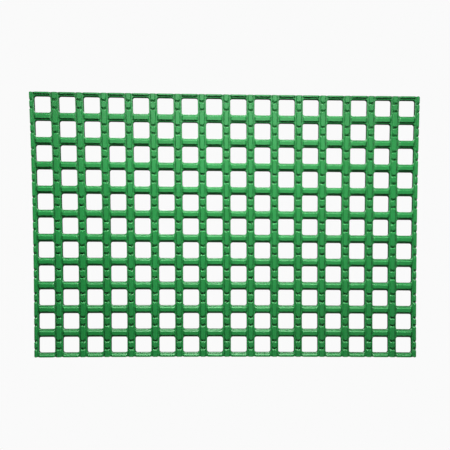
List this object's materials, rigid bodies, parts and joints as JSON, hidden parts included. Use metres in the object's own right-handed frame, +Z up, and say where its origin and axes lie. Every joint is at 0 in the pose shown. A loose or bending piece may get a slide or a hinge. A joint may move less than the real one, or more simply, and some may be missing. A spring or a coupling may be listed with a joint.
{
  "type": "cargo climbing net",
  "caption": "Flexible moulded square-lattice climbing net that hangs from its top border, with ridged rungs and notched upright straps that bend at their grooves.",
  "frame": {"origin": "middle of the top edge, halfway through the thickness of the web", "axes": "+X along the rungs to the climber's right, +Z up the straps, -Y out of the climbing face towards the climber"},
  "size_m": [1.6256, 0.02, 1.1176],
  "materials": {
    "net_plastic": "satin moulded green polyethylene"
  },
  "bodies": {
    "top_bar": {"rung_top": "net_plastic", "cross_blocks_top": "net_plastic"},
    "link_row_01": {"link_blocks_01": "net_plastic"},
    "rung_row_01": {"rung_01": "net_plastic", "cross_blocks_01": "net_plastic"},
    "link_row_02": {"link_blocks_02": "net_plastic"},
    "rung_row_02": {"rung_02": "net_plastic", "cross_blocks_02": "net_plastic"},
    "link_row_03": {"link_blocks_03": "net_plastic"},
    "rung_row_03": {"rung_03": "net_plastic", "cross_blocks_03": "net_plastic"},
    "link_row_04": {"link_blocks_04": "net_plastic"},
    "rung_row_04": {"rung_04": "net_plastic", "cross_blocks_04": "net_plastic"},
    "link_row_05": {"link_blocks_05": "net_plastic"},
    "rung_row_05": {"rung_05": "net_plastic", "cross_blocks_05": "net_plastic"},
    "link_row_06": {"link_blocks_06": "net_plastic"},
    "rung_row_06": {"rung_06": "net_plastic", "cross_blocks_06": "net_plastic"},
    "link_row_07": {"link_blocks_07": "net_plastic"},
    "rung_row_07": {"rung_07": "net_plastic", "cross_blocks_07": "net_plastic"},
    "link_row_08": {"link_blocks_08": "net_plastic"},
    "rung_row_08": {"rung_08": "net_plastic", "cross_blocks_08": "net_plastic"},
    "link_row_09": {"link_blocks_09": "net_plastic"},
    "rung_row_09": {"rung_09": "net_plastic", "cross_blocks_09": "net_plastic"},
    "link_row_10": {"link_blocks_10": "net_plastic"},
    "rung_row_10": {"rung_10": "net_plastic", "cross_blocks_10": "net_plastic"},
    "link_row_11": {"link_blocks_11": "net_plastic"},
    "bottom_bar": {"rung_bottom": "net_plastic", "cross_blocks_bottom": "net_plastic"}
  },
  "joints": [
    {"name": "upper_bend_01", "type": "hinge", "parent": "top_bar", "child": "link_row_01", "pos_m": [0, 0, -0.03385], "axis": [1, 0, 0], "range_deg": [-15, 15], "stiffness_Nm_per_rad": 60},
    {"name": "lower_bend_01", "type": "hinge", "parent": "link_row_01", "child": "rung_row_01", "pos_m": [0, 0, -0.06775], "axis": [1, 0, 0], "range_deg": [-15, 15], "stiffness_Nm_per_rad": 60},
    {"name": "upper_bend_02", "type": "hinge", "parent": "rung_row_01", "child": "link_row_02", "pos_m": [0, 0, -0.13545], "axis": [1, 0, 0], "range_deg": [-15, 15], "stiffness_Nm_per_rad": 60},
    {"name": "lower_bend_02", "type": "hinge", "parent": "link_row_02", "child": "rung_row_02", "pos_m": [0, 0, -0.16935], "axis": [1, 0, 0], "range_deg": [-15, 15], "stiffness_Nm_per_rad": 60},
    {"name": "upper_bend_03", "type": "hinge", "parent": "rung_row_02", "child": "link_row_03", "pos_m": [0, 0, -0.23705], "axis": [1, 0, 0], "range_deg": [-15, 15], "stiffness_Nm_per_rad": 60},
    {"name": "lower_bend_03", "type": "hinge", "parent": "link_row_03", "child": "rung_row_03", "pos_m": [0, 0, -0.27095], "axis": [1, 0, 0], "range_deg": [-15, 15], "stiffness_Nm_per_rad": 60},
    {"name": "upper_bend_04", "type": "hinge", "parent": "rung_row_03", "child": "link_row_04", "pos_m": [0, 0, -0.33865], "axis": [1, 0, 0], "range_deg": [-15, 15], "stiffness_Nm_per_rad": 60},
    {"name": "lower_bend_04", "type": "hinge", "parent": "link_row_04", "child": "rung_row_04", "pos_m": [0, 0, -0.37255], "axis": [1, 0, 0], "range_deg": [-15, 15], "stiffness_Nm_per_rad": 60},
    {"name": "upper_bend_05", "type": "hinge", "parent": "rung_row_04", "child": "link_row_05", "pos_m": [0, 0, -0.44025], "axis": [1, 0, 0], "range_deg": [-15, 15], "stiffness_Nm_per_rad": 60},
    {"name": "lower_bend_05", "type": "hinge", "parent": "link_row_05", "child": "rung_row_05", "pos_m": [0, 0, -0.47415], "axis": [1, 0, 0], "range_deg": [-15, 15], "stiffness_Nm_per_rad": 60},
    {"name": "upper_bend_06", "type": "hinge", "parent": "rung_row_05", "child": "link_row_06", "pos_m": [0, 0, -0.54185], "axis": [1, 0, 0], "range_deg": [-15, 15], "stiffness_Nm_per_rad": 60},
    {"name": "lower_bend_06", "type": "hinge", "parent": "link_row_06", "child": "rung_row_06", "pos_m": [0, 0, -0.57575], "axis": [1, 0, 0], "range_deg": [-15, 15], "stiffness_Nm_per_rad": 60},
    {"name": "upper_bend_07", "type": "hinge", "parent": "rung_row_06", "child": "link_row_07", "pos_m": [0, 0, -0.64345], "axis": [1, 0, 0], "range_deg": [-15, 15], "stiffness_Nm_per_rad": 60},
    {"name": "lower_bend_07", "type": "hinge", "parent": "link_row_07", "child": "rung_row_07", "pos_m": [0, 0, -0.67735], "axis": [1, 0, 0], "range_deg": [-15, 15], "stiffness_Nm_per_rad": 60},
    {"name": "upper_bend_08", "type": "hinge", "parent": "rung_row_07", "child": "link_row_08", "pos_m": [0, 0, -0.74505], "axis": [1, 0, 0], "range_deg": [-15, 15], "stiffness_Nm_per_rad": 60},
    {"name": "lower_bend_08", "type": "hinge", "parent": "link_row_08", "child": "rung_row_08", "pos_m": [0, 0, -0.77895], "axis": [1, 0, 0], "range_deg": [-15, 15], "stiffness_Nm_per_rad": 60},
    {"name": "upper_bend_09", "type": "hinge", "parent": "rung_row_08", "child": "link_row_09", "pos_m": [0, 0, -0.84665], "axis": [1, 0, 0], "range_deg": [-15, 15], "stiffness_Nm_per_rad": 60},
    {"name": "lower_bend_09", "type": "hinge", "parent": "link_row_09", "child": "rung_row_09", "pos_m": [0, 0, -0.88055], "axis": [1, 0, 0], "range_deg": [-15, 15], "stiffness_Nm_per_rad": 60},
    {"name": "upper_bend_10", "type": "hinge", "parent": "rung_row_09", "child": "link_row_10", "pos_m": [0, 0, -0.94825], "axis": [1, 0, 0], "range_deg": [-15, 15], "stiffness_Nm_per_rad": 60},
    {"name": "lower_bend_10", "type": "hinge", "parent": "link_row_10", "child": "rung_row_10", "pos_m": [0, 0, -0.98215], "axis": [1, 0, 0], "range_deg": [-15, 15], "stiffness_Nm_per_rad": 60},
    {"name": "upper_bend_11", "type": "hinge", "parent": "rung_row_10", "child": "link_row_11", "pos_m": [0, 0, -1.04985], "axis": [1, 0, 0], "range_deg": [-15, 15], "stiffness_Nm_per_rad": 60},
    {"name": "lower_bend_11", "type": "hinge", "parent": "link_row_11", "child": "bottom_bar", "pos_m": [0, 0, -1.08375], "axis": [1, 0, 0], "range_deg": [-15, 15], "stiffness_Nm_per_rad": 60}
  ],
  "couplings": [
    {"joint": "lower_bend_01", "follows": "upper_bend_01", "ratio": 1},
    {"joint": "lower_bend_02", "follows": "upper_bend_02", "ratio": 1},
    {"joint": "lower_bend_03", "follows": "upper_bend_03", "ratio": 1},
    {"joint": "lower_bend_04", "follows": "upper_bend_04", "ratio": 1},
    {"joint": "lower_bend_05", "follows": "upper_bend_05", "ratio": 1},
    {"joint": "lower_bend_06", "follows": "upper_bend_06", "ratio": 1},
    {"joint": "lower_bend_07", "follows": "upper_bend_07", "ratio": 1},
    {"joint": "lower_bend_08", "follows": "upper_bend_08", "ratio": 1},
    {"joint": "lower_bend_09", "follows": "upper_bend_09", "ratio": 1},
    {"joint": "lower_bend_10", "follows": "upper_bend_10", "ratio": 1},
    {"joint": "lower_bend_11", "follows": "upper_bend_11", "ratio": 1}
  ]
}
